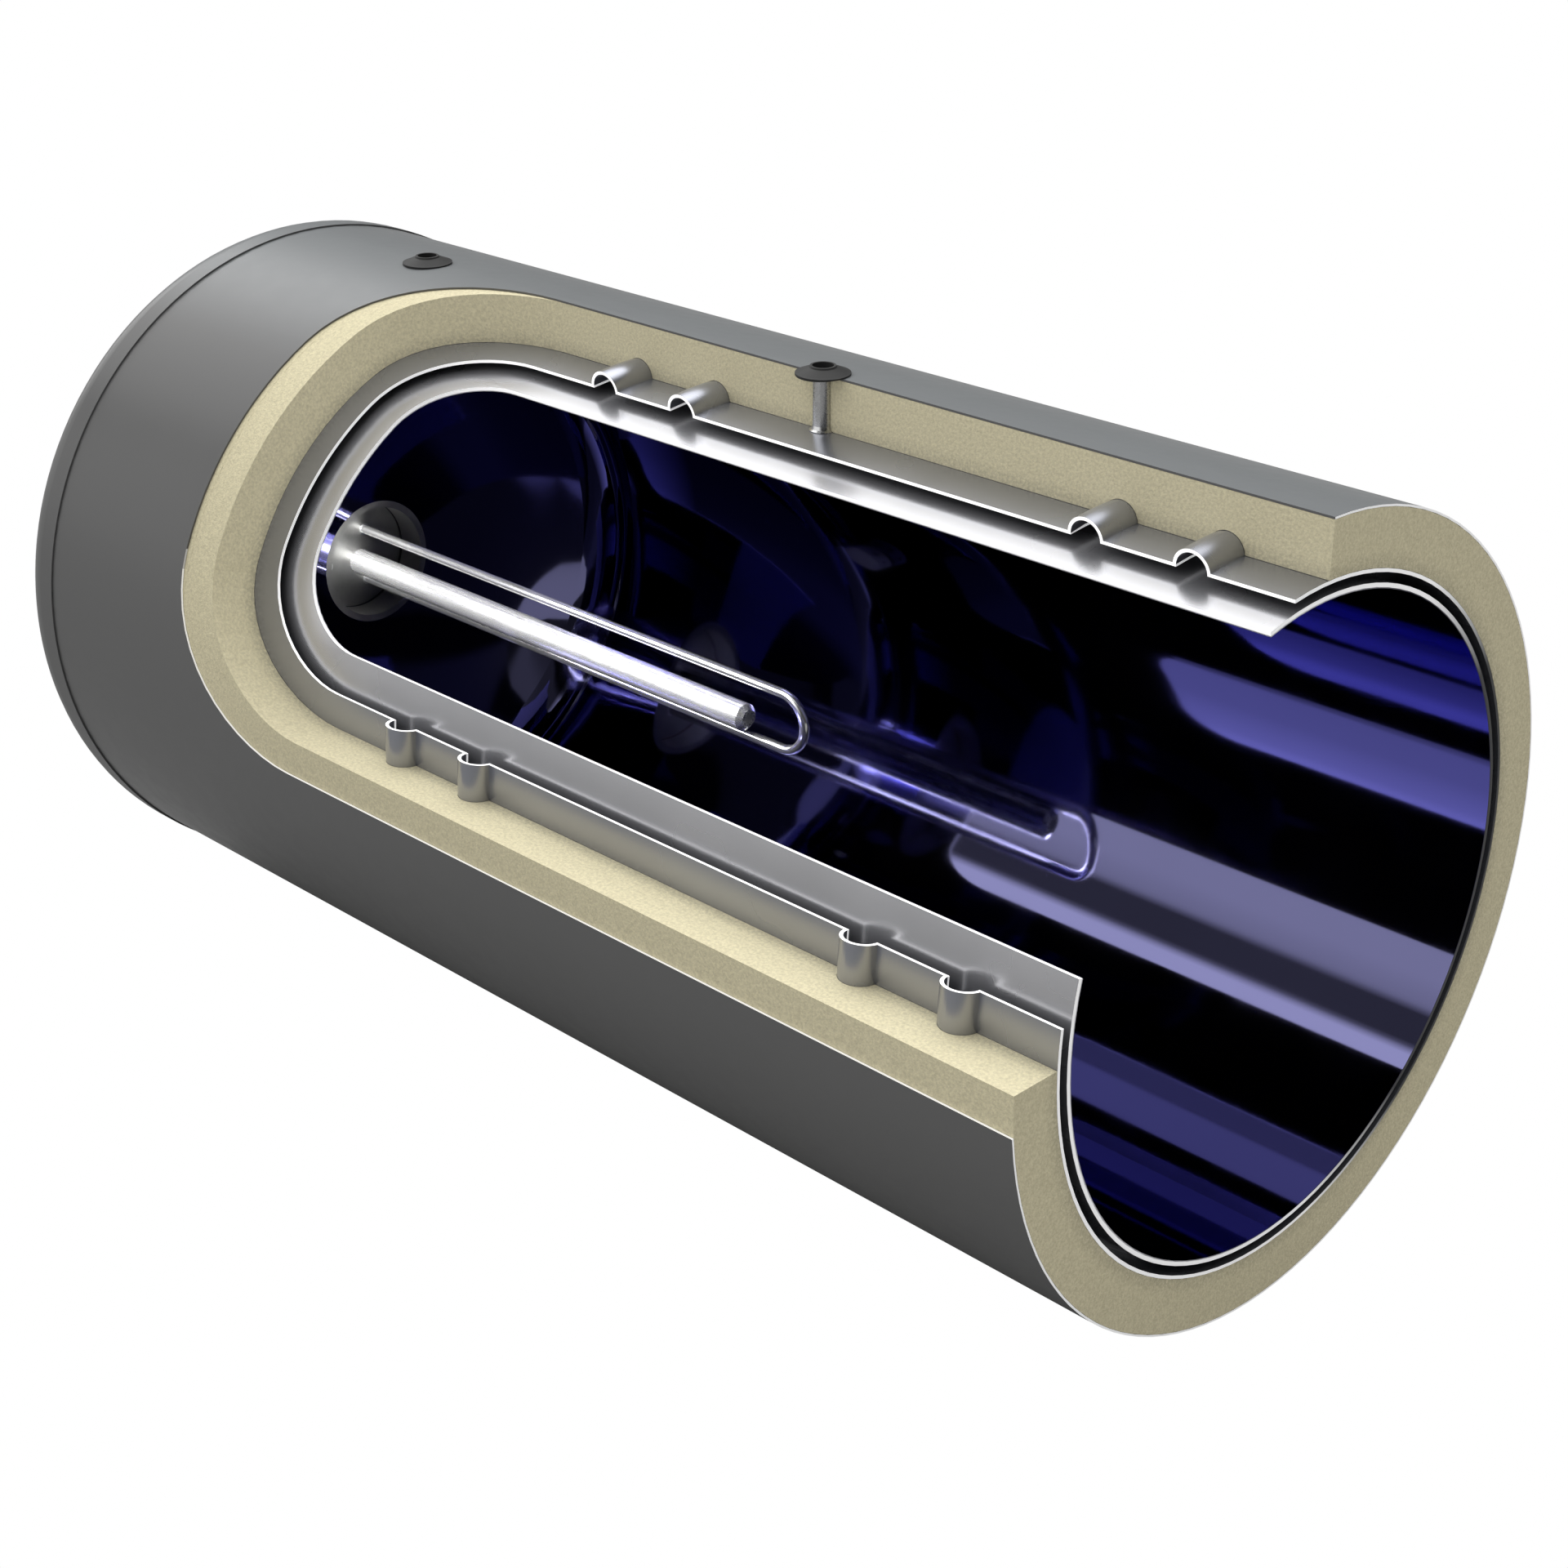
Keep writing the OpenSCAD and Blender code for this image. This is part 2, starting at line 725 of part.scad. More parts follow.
module anode_nut() {
    color(zinc_color) difference() {
        union() {
            bar(core_d, seat_out - nut_washer_t, seat_out, anode_y, anode_z);
            hex_bar(nut_af, seat_out - nut_washer_t - nut_h, seat_out - nut_washer_t, anode_y, anode_z);
        }
        bar(core_d / 2 + fit, seat_out - nut_washer_t - nut_h - overshoot, seat_out + overshoot,
            anode_y, anode_z);
    }
}

// Closed tube through the cover plate that takes the thermostat's sensor.
module sensor_pocket() {
    color(brass_color) difference() {
        union() {
            bar(well_head_d / 2, seat_out - well_head_h, seat_out, well_y, well_z);
            bar(well_d / 2, seat_out, plate_face + well_in, well_y, well_z);
        }
        bar(well_bore / 2, seat_out - well_head_h - overshoot, plate_face + well_in - 2, well_y, well_z);
    }
}

body_to = seat_out - stud_out - thermostat_gap;
body_from = body_to - thermostat_box[0];

module thermostat_body() {
    color(plastic_color) difference() {
        union() {
            translate([at(body_from), well_y - thermostat_box[1] / 2, axis_z - thermostat_box[2] / 2])
                cube(thermostat_box);
            bar(well_head_d / 2, body_to, seat_out - well_head_h, well_y, well_z);
            bar(sensor_d / 2, seat_out - well_head_h, plate_face + well_in - 3, well_y, well_z);
        }
        bar(shaft_d / 2 + shaft_fit, body_from - overshoot, body_from + shaft_l + slip, knob_y, knob_z);
        bar(reset_d / 2 + slip, body_from - overshoot, body_from + reset_deep + reset_travel + slip,
            knob_y, reset_z);
    }
}

// Knob with a grip bar across its face and a shaft into the thermostat.
module thermostat_knob() {
    color(collar_color) difference() {
        union() {
            bar(knob_d / 2, body_from - slip - knob_h / 2, body_from - slip, knob_y, knob_z);
            translate([at(body_from - slip - knob_h), knob_y - knob_d / 10, axis_z + knob_z - knob_d / 2 + 1])
                cube([knob_h - 1, knob_d / 5, knob_d - 2]);
            bar(shaft_d / 2, body_from - slip - knob_h / 2, body_from + shaft_l - slip, knob_y, knob_z);
        }
        translate([at(body_from - slip - knob_h) - 1, knob_y - 0.6, axis_z + knob_z + knob_d / 5])
            cube([2, 1.2, knob_d / 3]);
    }
}

module reset_button() {
    color(red_color) bar(reset_d / 2, body_from - reset_proud, body_from + reset_deep, knob_y, reset_z);
}

block_y = neck_r + neck_wall + block_gap;
block_x = flange_to - block_size[0];

module at_block_screws() {
    for (i = [0 : block_screws - 1])
        translate([0, block_y + block_size[1] / 2, (i - 1) * block_size[2] / block_screws]) children();
}

module terminal_block() {
    color(plastic_color) difference() {
        translate([at(block_x), block_y, axis_z - block_size[2] / 2]) cube(block_size);
        at_block_screws() bar(block_well_d / 2, block_x - overshoot, block_x + block_well_deep);
        at_block_screws()
            translate([at(block_x + lead_hole_deep), -block_size[1] / 2 - overshoot, axis_z])
                rotate([-90, 0, 0]) cylinder(d = lead_hole_d, h = block_size[1] + 2 * overshoot);
    }
}

// Cutter for a screwdriver slot across a head of diameter d whose top is at a distance from the seam.
module slot(d, top) {
    translate([at(top) - overshoot, -d / 2 - overshoot, axis_z - slot_w / 2])
        cube([overshoot + slot_deep, d + 2 * overshoot, slot_w]);
}

module block_screws() {
    color(brass_color) at_block_screws() difference() {
        bar(block_screw_d / 2, block_x + block_screw_sunk, block_x + block_well_deep);
        slot(block_screw_d, block_x + block_screw_sunk);
    }
}

module earth_stud() {
    color(brass_color) union() {
        bar(earth_d / 2, seat_out - earth_out, seat_out + plate_t / 2, earth_y, earth_z);
        hex_bar(earth_af, seat_out - earth_hex_h, seat_out, earth_y, earth_z);
    }
}

// Plastic pan that keeps the foam out of the space round the flange.
module electrical_pan() {
    color(plastic_color) difference() {
        bar(pan_r, seat_under + fit, flange_to + pan_wall);
        bar(pan_d / 2, seat_under - overshoot, flange_to);
        bar(flange_d / 2 + bond, flange_to - overshoot, flange_to + pan_wall + overshoot);
    }
}

cover_from = seat_from - cover_seal_t - slip;

module service_cover() {
    r = cover_d / 2;
    foot_r = service_d / 2 - cover_lap;
    top_r = foot_r - cover_slope;
    face = cover_from - cover_wall;
    color(plastic_color) difference() {
        turned() polygon([
            [0, face - cover_rise], [top_r, face - cover_rise], [foot_r, face], [r, face], [r, cover_from],
            [foot_r - cover_wall / 2, cover_from], [top_r - cover_wall / 2, cover_from - cover_rise],
            [0, cover_from - cover_rise]
        ]);
        at_cover_screws() bar(cover_screw_d / 2 + fit, cover_from - cover_wall - overshoot, cover_from + overshoot);
    }
}

module cover_seal() {
    color(rubber_color) difference() {
        sleeve(cover_d / 2 - 1, service_d / 2 + 1, seat_from - cover_seal_t, seat_from);
        at_cover_screws() bar(cover_screw_d / 2 + slip, seat_from - cover_seal_t - overshoot, seat_from + overshoot);
    }
}

module cover_screws() {
    head_to = cover_from - cover_wall;
    color(zinc_color) at_cover_screws() difference() {
        union() {
            bar(cover_screw_d, head_to - screw_head_h, head_to);
            bar(cover_screw_d / 2, head_to, seat_from + screw_reach);
        }
        slot(2 * cover_screw_d, head_to - screw_head_h);
    }
}

// Rivet nuts behind the seat that take the cover screws.
module rivet_nuts() {
    color(zinc_color) at_cover_screws()
        sleeve(cover_screw_d / 2 + rivet_wall, cover_screw_d / 2 + slip, seat_under, seat_under + rivet_l);
}

// Gland body and dome nut outside the seat, and the thread that passes it.
module cable_gland() {
    nut_from = seat_from - gland_hex_h - gland_nut_l;
    thread_to = seat_from + gland_thread_l;
    color(collar_color) difference() {
        union() {
            bar(gland_d / 2, seat_from, thread_to, z = gland_z);
            hex_bar(gland_hex, seat_from - gland_hex_h, seat_from, z = gland_z);
            bar(gland_hex / 2, nut_from + gland_cone, seat_from - gland_hex_h, z = gland_z);
            on_axis(nut_from, z = gland_z)
                cylinder(r1 = gland_bore / 2 + gland_cone / 2, r2 = gland_hex / 2, h = gland_cone);
        }
        bar(gland_bore / 2, nut_from - overshoot, seat_from - 1, z = gland_z);
        bar(gland_bore / 2 + 1, seat_from - 1, thread_to + overshoot, z = gland_z);
    }
}

module gland_locknut() {
    color(collar_color) difference() {
        hex_bar(gland_hex, seat_under, seat_under + locknut_h, z = gland_z);
        bar(gland_d / 2 + fit, seat_under - overshoot, seat_under + locknut_h + overshoot, z = gland_z);
    }
}

// Weld fillet where a pipe stub stands on the jacket, drawn over the jacket's top line.
flare_w = 2.5;
flare_h = 4;
module flare(grow) {
    base = jacket_r - 1;
    translate([0, 0, base]) rotate_extrude() polygon([
        [pipe_d / 2 - 0.5, 0], [pipe_d / 2 + flare_w + grow, 0], [pipe_d / 2 + flare_w + grow, 1.4],
        [pipe_d / 2 + flare_w / 3 + grow, 2.4], [pipe_d / 2 + grow, 1 + flare_h + grow],
        [pipe_d / 2 - 0.5, 1 + flare_h + grow]
    ]);
}

// Straight pipe stub from an inner radius to the underside of its collar.
module stub(from_r) {
    translate([0, 0, from_r]) difference() {
        cylinder(d = pipe_d, h = casing_r - fit - from_r);
        translate([0, 0, -overshoot]) cylinder(d = pipe_d - 2 * pipe_wall, h = casing_r - from_r + 2 * overshoot);
    }
}

// Stub welded on the jacket: its fillet sits on the jacket's surface.
module jacket_stub() {
    difference() {
        union() {
            stub(jacket_r - jacket_wall - 1);
            difference() {
                flare(0);
                cylinder(d = pipe_d - pipe_wall, h = casing_r);
            }
        }
        difference() {
            translate([0, 0, tank_r]) cylinder(d = 3 * pipe_d, h = jacket_r + 0.02 - tank_r);
            translate([0, 0, tank_r - overshoot]) cylinder(d = pipe_d, h = jacket_r - tank_r + 2 * overshoot);
        }
    }
}

// Shallow cone that covers the hole in the casing round a stub.
module collar() {
    r = collar_d / 2;
    bore_r = collar_bore / 2;
    difference() {
        translate([0, 0, casing_r]) rotate_extrude() polygon([
            [bore_r, -2], [r, -2], [r, 1.2], [r - 1.5, 1.7], [bore_r + 2.4, collar_h - 1.2],
            [bore_r + 1.6, collar_h], [bore_r, collar_h]
        ]);
        rotate([0, 90, 0]) cylinder(r = casing_r + fit, h = 2 * collar_d, center = true, $fn = 720);
    }
}

module hot_outlet_pipe() {
    color(steel_color) on_top(water_port) stub(tank_in_r - outlet_in);
}

module hot_outlet_collar() {
    color(collar_color) on_top(water_port) collar();
}

module jacket_port_pipe() {
    color(steel_color) on_top(jacket_port) jacket_stub();
}

module jacket_port_collar() {
    color(collar_color) on_top(jacket_port) collar();
}

module cold_inlet_pipe() {
    color(steel_color) underneath(water_port) stub(tank_in_r - inlet_in);
}

module cold_inlet_collar() {
    color(collar_color) underneath(water_port) collar();
}

module jacket_return_pipe() {
    color(steel_color) underneath(return_port) jacket_stub();
}

module jacket_return_collar() {
    color(collar_color) underneath(return_port) collar();
}

// Cup over the end of the cold inlet that turns the jet sideways through its ring of holes.
module inlet_diffuser() {
    wall = diffuser_wall;
    from_r = tank_in_r - diffuser_gap;
    color(plastic_color) underneath(water_port) difference() {
        translate([0, 0, from_r - diffuser_h]) cylinder(d = diffuser_d, h = diffuser_h);
        translate([0, 0, from_r - diffuser_h + wall])
            cylinder(d = diffuser_d - 2 * wall, h = diffuser_h - 2 * wall);
        translate([0, 0, from_r - 2 * wall]) cylinder(d = pipe_d + 2 * fit, h = 4 * wall);
        for (i = [0 : diffuser_jets - 1])
            translate([0, 0, from_r - diffuser_h / 2]) rotate([90, 0, i * 360 / diffuser_jets])
                translate([0, 0, diffuser_d / 2 - 2 * wall]) cylinder(d = jet_d, h = 3 * wall);
    }
}

// Round steel foot on the jacket, through foam and casing, tapped from below.
module foot(side) {
    translate([side * foot_pitch / 2, 0, 0]) difference() {
        cylinder(d = foot_d, h = axis_z - jacket_r + foot_d / 8);
        translate([0, 0, -overshoot]) cylinder(d = foot_hole, h = foot_hole_deep + overshoot);
        translate([0, 0, axis_z]) rotate([0, 90, 0])
            cylinder(r = jacket_r + fit, h = 2 * foot_d, center = true, $fn = 720);
    }
}

module left_foot() {
    color(zinc_color) foot(-1);
}

module right_foot() {
    color(zinc_color) foot(1);
}

// Rubber rings that close the casing round the feet.
module foot_collars() {
    outer_r = foot_d / 2 + foot_edge;
    color(rubber_color) for (side = [-1, 1])
        translate([side * foot_pitch / 2, 0, axis_z - casing_r - foot_collar_t]) difference() {
            cylinder(r = outer_r, h = foot_collar_t + outer_r / 8);
            translate([0, 0, -overshoot]) cylinder(r = foot_d / 2 + fit, h = 4 * foot_collar_t + outer_r);
            translate([0, 0, casing_r + foot_collar_t]) rotate([0, 90, 0])
                cylinder(r = casing_r + fit, h = 3 * outer_r, center = true, $fn = 720);
        }
}

casing_shell();
end_cap();
cap_seal();
head_foam();
insulation_foam();
cap_foam();
jacket_shell();
inner_tank();
tank_head();
enamel_lining();
neck_flange();
flange_studs();
flange_gasket();
flange_plate();
flange_washers();
flange_nuts();
heating_tube();
tube_bushings();
terminal_insulators();
terminal_pins();
terminal_nuts();
anode_rod();
anode_core();
anode_nut();
sensor_pocket();
thermostat_body();
thermostat_knob();
reset_button();
terminal_block();
block_screws();
earth_stud();
electrical_pan();
service_cover();
cover_seal();
cover_screws();
rivet_nuts();
cable_gland();
gland_locknut();
hot_outlet_pipe();
hot_outlet_collar();
jacket_port_pipe();
jacket_port_collar();
cold_inlet_pipe();
cold_inlet_collar();
inlet_diffuser();
jacket_return_pipe();
jacket_return_collar();
left_foot();
right_foot();
foot_collars();
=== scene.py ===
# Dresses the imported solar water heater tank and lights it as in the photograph.
# Everything is in metres, in the frame of the CAD model: +X along the tank, -Y its front, +Z up.
import math

import bpy
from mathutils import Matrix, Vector

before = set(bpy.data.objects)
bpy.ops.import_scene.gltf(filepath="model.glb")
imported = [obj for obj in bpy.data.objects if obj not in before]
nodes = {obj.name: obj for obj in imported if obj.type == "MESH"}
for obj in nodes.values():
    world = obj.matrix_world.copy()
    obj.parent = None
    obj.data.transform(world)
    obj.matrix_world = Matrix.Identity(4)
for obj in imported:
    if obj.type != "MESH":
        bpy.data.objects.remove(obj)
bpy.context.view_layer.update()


def box_of(node):
    """Lowest and highest corner of a node's box."""
    corners = [node.matrix_world @ Vector(corner) for corner in node.bound_box]
    return [min(values) for values in zip(*corners)], [max(values) for values in zip(*corners)]


CASING_LOW, CASING_HIGH = box_of(nodes["casing_shell"])
AXIS_Z = (CASING_LOW[2] + CASING_HIGH[2]) / 2.0     # height of the tank's axis
END_X = CASING_HIGH[0]                              # section plane
END_SLACK = 0.001                                   # faces this near to it count as its own
JACKET_R = 0.248                                    # outside of the heating jacket

WHITE = (1.0, 1.0, 1.0)
# Painted highlight: the near-white that cut edges are given where light would fall on them.
PAINTED_EDGE_HIGHLIGHT = (0.95, 0.95, 0.95)      # a sheet's cut edge where light falls on it

# Camera of the photograph, solved from its circles and straight edges
CAMERA_AT = (1.3772, -1.3326, 1.1385)
CAMERA_AZIMUTH = 44.8346
CAMERA_ELEVATION = 25.1901
CAMERA_LENS = 60.659


def make_camera():
    data = bpy.data.cameras.new("photo_camera")
    data.lens = CAMERA_LENS
    data.sensor_width = 36.0
    data.sensor_fit = "HORIZONTAL"
    data.clip_start = 0.01
    data.clip_end = 100.0
    camera = bpy.data.objects.new("photo_camera", data)
    camera.location = CAMERA_AT
    tilt = math.radians(90.0 - CAMERA_ELEVATION)
    camera.rotation_euler = (tilt, 0.0, math.radians(CAMERA_AZIMUTH))
    bpy.context.scene.collection.objects.link(camera)
    bpy.context.scene.camera = camera


# Node helpers

class Shader:
    """A material with a Principled shader, and short calls for the nodes that feed it."""

    def __init__(self, name, color, roughness, metallic=0.0):
        self.material = bpy.data.materials.new(name)
        self.material.use_nodes = True
        self.tree = self.material.node_tree
        self.tree.nodes.clear()
        self.output = self.tree.nodes.new("ShaderNodeOutputMaterial")
        self.bsdf = self.tree.nodes.new("ShaderNodeBsdfPrincipled")
        self.tree.links.new(self.bsdf.outputs[0], self.output.inputs[0])
        self.set("Base Color", (*color, 1.0))
        self.set("Roughness", roughness)
        self.set("Metallic", metallic)
        self.material.diffuse_color = (*color, 1.0)
        coords = self.tree.nodes.new("ShaderNodeTexCoord")
        self.place = coords.outputs["Object"]

    def set(self, socket, value):
        self.bsdf.inputs[socket].default_value = value

    def feed(self, socket, source):
        self.tree.links.new(source, self.bsdf.inputs[socket])

    def put(self, node, socket, value):
        if isinstance(value, bpy.types.NodeSocket):
            self.tree.links.new(value, node.inputs[socket])
        else:
            node.inputs[socket].default_value = value

    def stretched(self, scale):
        """Coordinates scaled on each axis by itself, for a grain that runs along the tank."""
        node = self.tree.nodes.new("ShaderNodeMapping")
        self.put(node, "Vector", self.place)
        node.inputs["Scale"].default_value = scale
        return node.outputs[0]

    def noise(self, scale, detail=4.0, roughness=0.55, vector=None):
        node = self.tree.nodes.new("ShaderNodeTexNoise")
        self.put(node, "Vector", vector or self.place)
        node.inputs["Scale"].default_value = scale
        node.inputs["Detail"].default_value = detail
        node.inputs["Roughness"].default_value = roughness
        return node.outputs["Fac"]

    def cells(self, scale):
        node = self.tree.nodes.new("ShaderNodeTexVoronoi")
        self.put(node, "Vector", self.place)
        node.inputs["Scale"].default_value = scale
        return node.outputs["Distance"]

    def ramp(self, value, low, high, to_low, to_high):
        node = self.tree.nodes.new("ShaderNodeMapRange")
        self.put(node, "Value", value)
        node.inputs["From Min"].default_value = low
        node.inputs["From Max"].default_value = high
        node.inputs["To Min"].default_value = to_low
        node.inputs["To Max"].default_value = to_high
        return node.outputs["Result"]

    def math(self, operation, a, b=0.0):
        node = self.tree.nodes.new("ShaderNodeMath")
        node.operation = operation
        self.put(node, 0, a)
        self.put(node, 1, b)
        return node.outputs[0]

    def mix(self, factor, a, b):
        node = self.tree.nodes.new("ShaderNodeMix")
        node.data_type = "RGBA"
        self.put(node, "Factor", factor)
        self.put(node, "A", a if isinstance(a, bpy.types.NodeSocket) else (*a, 1.0))
        self.put(node, "B", b if isinstance(b, bpy.types.NodeSocket) else (*b, 1.0))
        return node.outputs["Result"]

    def bump(self, height, distance, strength=1.0):
        node = self.tree.nodes.new("ShaderNodeBump")
        node.inputs["Strength"].default_value = strength
        node.inputs["Distance"].default_value = distance
        self.put(node, "Height", height)
        self.feed("Normal", node.outputs[0])

    def radius(self):
        """Distance of the shaded point from the tank's axis."""
        split = self.tree.nodes.new("ShaderNodeSeparateXYZ")
        self.put(split, 0, self.place)
        up = self.math("SUBTRACT", split.outputs["Z"], AXIS_Z)
        across = self.math("MULTIPLY", split.outputs["Y"], split.outputs["Y"])
        return self.math("SQRT", self.math("ADD", across, self.math("MULTIPLY", up, up)))

    def _turned_frame(self):
        """The face normal's parts away from the axis and round it (upwards at the front), both
        times the radius, and the normal itself."""
        geometry = self.tree.nodes.new("ShaderNodeNewGeometry")
        place = self.tree.nodes.new("ShaderNodeSeparateXYZ")
        self.put(place, 0, self.place)
        normal = self.tree.nodes.new("ShaderNodeSeparateXYZ")
        self.put(normal, 0, geometry.outputs["True Normal"])
        up = self.math("SUBTRACT", place.outputs["Z"], AXIS_Z)
        outward = self.math(
            "ADD",
            self.math("MULTIPLY", place.outputs["Y"], normal.outputs["Y"]),
            self.math("MULTIPLY", up, normal.outputs["Z"]),
        )
        around = self.math(
            "SUBTRACT",
            self.math("MULTIPLY", up, normal.outputs["Y"]),
            self.math("MULTIPLY", place.outputs["Y"], normal.outputs["Z"]),
        )
        return outward, around, normal

    def cut_face(self, slack=0.05):
        """1 on faces that stand square to the tank's shell, such as a window's cut edge, else 0."""
        outward, _, _ = self._turned_frame()
        facing = self.math("DIVIDE", self.math("ABSOLUTE", outward), self.radius())
        return self.math("LESS_THAN", facing, slack)

    def upward(self):
        """How far a cut face looks round the shell towards the top: 1 below, -1 above a window."""
        _, around, _ = self._turned_frame()
        return self.math("DIVIDE", around, self.radius())

    def side(self, angle):
        """Cosine between the shaded point's side of the axis and an angle: 0 front, 90 top."""
        place = self.tree.nodes.new("ShaderNodeSeparateXYZ")
        self.put(place, 0, self.place)
        up = self.math("SUBTRACT", place.outputs["Z"], AXIS_Z)
        level = self.math("MULTIPLY", place.outputs["Y"], -math.cos(math.radians(angle)))
        raised = self.math("MULTIPLY", up, math.sin(math.radians(angle)))
        return self.math("DIVIDE", self.math("ADD", level, raised), self.radius())

    def section_plane(self):
        """1 on faces that look along the tank at the section plane, else 0."""
        _, _, normal = self._turned_frame()
        place = self.tree.nodes.new("ShaderNodeSeparateXYZ")
        self.put(place, 0, self.place)
        along = self.math("GREATER_THAN", normal.outputs["X"], 0.9)
        at_end = self.math("GREATER_THAN", place.outputs["X"], END_X - END_SLACK)
        return self.math("MULTIPLY", along, at_end)


def casing_paint():
    """Grey paint with a painted highlight on top. The cut edges get painted light and a painted
    glow where they look up or at the end, and painted shade where they look down.
    """
    s = Shader("casing_paint", (0.172, 0.172, 0.172), 0.45)
    edge = s.cut_face()
    # Painted light and shade on the cut edges: near-white where they look up or lie in the section
    # plane, dark grey where they look down.
    lit = s.ramp(s.upward(), 0.0, 0.12, 0.0, 1.0)
    lit = s.math("MAXIMUM", lit, s.section_plane())
    painted_edge_light_shade = s.mix(lit, (0.16, 0.16, 0.16), PAINTED_EDGE_HIGHLIGHT)
    # Painted highlight: the paint is made paler along the top, where the light falls.
    high = s.ramp(s.side(90.0), 0.84, 1.0, 0.0, 1.0)
    tone = s.mix(high, (0.168, 0.168, 0.167), (0.210, 0.222, 0.229))
    tone = s.mix(s.math("MULTIPLY", s.noise(3.0, 3.0), 0.16), tone, (0.10, 0.10, 0.10))
    s.feed("Base Color", s.mix(edge, tone, painted_edge_light_shade))
    # A low end of 0.27 left dark specks in the render, 0.28 doesn't. The denoiser may be why.
    s.feed("Roughness", s.ramp(s.noise(60.0, 2.0), 0.3, 0.7, 0.28, 0.33))
    s.set("Specular IOR Level", 0.27)
    # Painted glow: the lit cut edges give off a little light of their own.
    s.set("Emission Color", (*WHITE, 1.0))
    s.feed("Emission Strength", s.math("MULTIPLY", s.math("MULTIPLY", edge, lit), 0.35))
    s.bump(s.noise(900.0, 2.0), 0.00002, 0.2)
    return s.material


def foam():
    """Rigid foam with a fine grain, with painted shade in spots where it meets the jacket, and
    painted shade on the faces at the section.
    """
    s = Shader("foam", (0.76, 0.69, 0.47), 0.95)
    # Painted shade: the foam is darkened in spots within 12 mm of the jacket, where shade falls
    # between the parts.
    painted_shade_near_jacket = s.ramp(s.radius(), JACKET_R, JACKET_R + 0.012, 1.0, 0.0)
    grain = s.noise(430.0, 4.0, 0.65)
    tone = s.mix(s.ramp(grain, 0.34, 0.66, 0.0, 1.0), (0.65, 0.59, 0.40), (0.83, 0.76, 0.525))
    painted_shade_specks = s.math("MULTIPLY", painted_shade_near_jacket, s.ramp(grain, 0.30, 0.72, 1.0, 0.25))
    tone = s.mix(s.math("MULTIPLY", painted_shade_specks, 0.50), tone, (0.30, 0.28, 0.21))
    # Painted shade: faces in the section plane are made 24% darker to even out the light on them.
    s.feed("Base Color", s.mix(s.math("MULTIPLY", s.section_plane(), 0.24), tone, (0.0, 0.0, 0.0)))
    s.bump(s.math("ADD", grain, s.cells(700.0)), 0.0005, 0.5)
    s.set("Specular IOR Level", 0.15)
    return s.material


def shell_steel(name, dark, light):
    """Clouded sheet steel. Its cut edges get a painted highlight and a painted glow all round but
    at the back, where they get painted shade.
    """
    s = Shader(name, light, 0.28, 0.85)
    edge = s.cut_face()
    # Painted light on the cut edges: near-white on most sides, dark grey on the far back side.
    painted_highlight_side = s.ramp(s.side(10.0), -0.75, -0.35, 0.0, 1.0)
    cloud = s.noise(7.0, 3.0)
    painted_edge_light_shade = s.mix(painted_highlight_side, (0.12, 0.12, 0.12), PAINTED_EDGE_HIGHLIGHT)
    s.feed("Base Color", s.mix(edge, s.mix(cloud, dark, light), painted_edge_light_shade))
    s.feed("Metallic", s.ramp(edge, 0.0, 1.0, 0.85, 0.0))
    shell = s.ramp(cloud, 0.3, 0.7, 0.22, 0.30)
    s.feed("Roughness", s.math("ADD", shell, s.math("MULTIPLY", edge, 0.4)))
    # Painted glow: the lit cut edges give off light of their own.
    s.set("Emission Color", (*WHITE, 1.0))
    s.feed("Emission Strength", s.math("MULTIPLY", s.math("MULTIPLY", edge, painted_highlight_side), 0.40))
    s.bump(s.noise(240.0, 3.0), 0.00003, 0.2)
    return s.material


def enamel():
    """Dark blue glass coat: a mirror with a blue tint that waves slightly."""
    s = Shader("enamel", (0.235, 0.235, 0.46), 0.045, 1.0)
    s.set("Specular Tint", (0.72, 0.71, 1.0, 1.0))
    edge = s.cut_face()
    tone = s.mix(s.noise(5.0, 3.0), (0.225, 0.223, 0.44), (0.245, 0.243, 0.48))
    # Painted highlight and shade: the cut edges are near-white on the front side and dark grey on
    # the back side.
    painted_highlight_side = s.ramp(s.side(10.0), -0.25, 0.15, 0.0, 1.0)
    s.feed("Base Color", s.mix(edge, tone, s.mix(painted_highlight_side, (0.12, 0.12, 0.14), (0.90, 0.90, 0.92))))
    s.feed("Roughness", s.math("ADD", s.ramp(s.noise(14.0, 3.0), 0.3, 0.7, 0.03, 0.06),
                               s.math("MULTIPLY", edge, 0.5)))
    s.bump(s.noise(9.0, 2.0), 0.0006, 0.05)
    return s.material


def dark_steel():
    s = Shader("dark_steel", (0.30, 0.30, 0.285), 0.42, 0.7)
    grain = s.noise(160.0, 4.0, 0.6)
    s.feed("Base Color", s.mix(grain, (0.24, 0.24, 0.23), (0.36, 0.36, 0.34)))
    s.feed("Roughness", s.ramp(grain, 0.3, 0.7, 0.36, 0.50))
    s.bump(grain, 0.00004, 0.2)
    return s.material


def polished_rod():
    """Bright drawn tube with fine streaks along it."""
    s = Shader("polished_rod", (0.86, 0.86, 0.86), 0.17, 0.95)
    drawn = s.noise(1.0, 3.0, 0.6, s.stretched((25.0, 900.0, 900.0)))
    s.feed("Roughness", s.ramp(drawn, 0.3, 0.7, 0.12, 0.24))
    s.feed("Base Color", s.mix(s.noise(20.0, 3.0), (0.80, 0.80, 0.80), (0.90, 0.90, 0.90)))
    s.bump(drawn, 0.00001, 0.3)
    return s.material


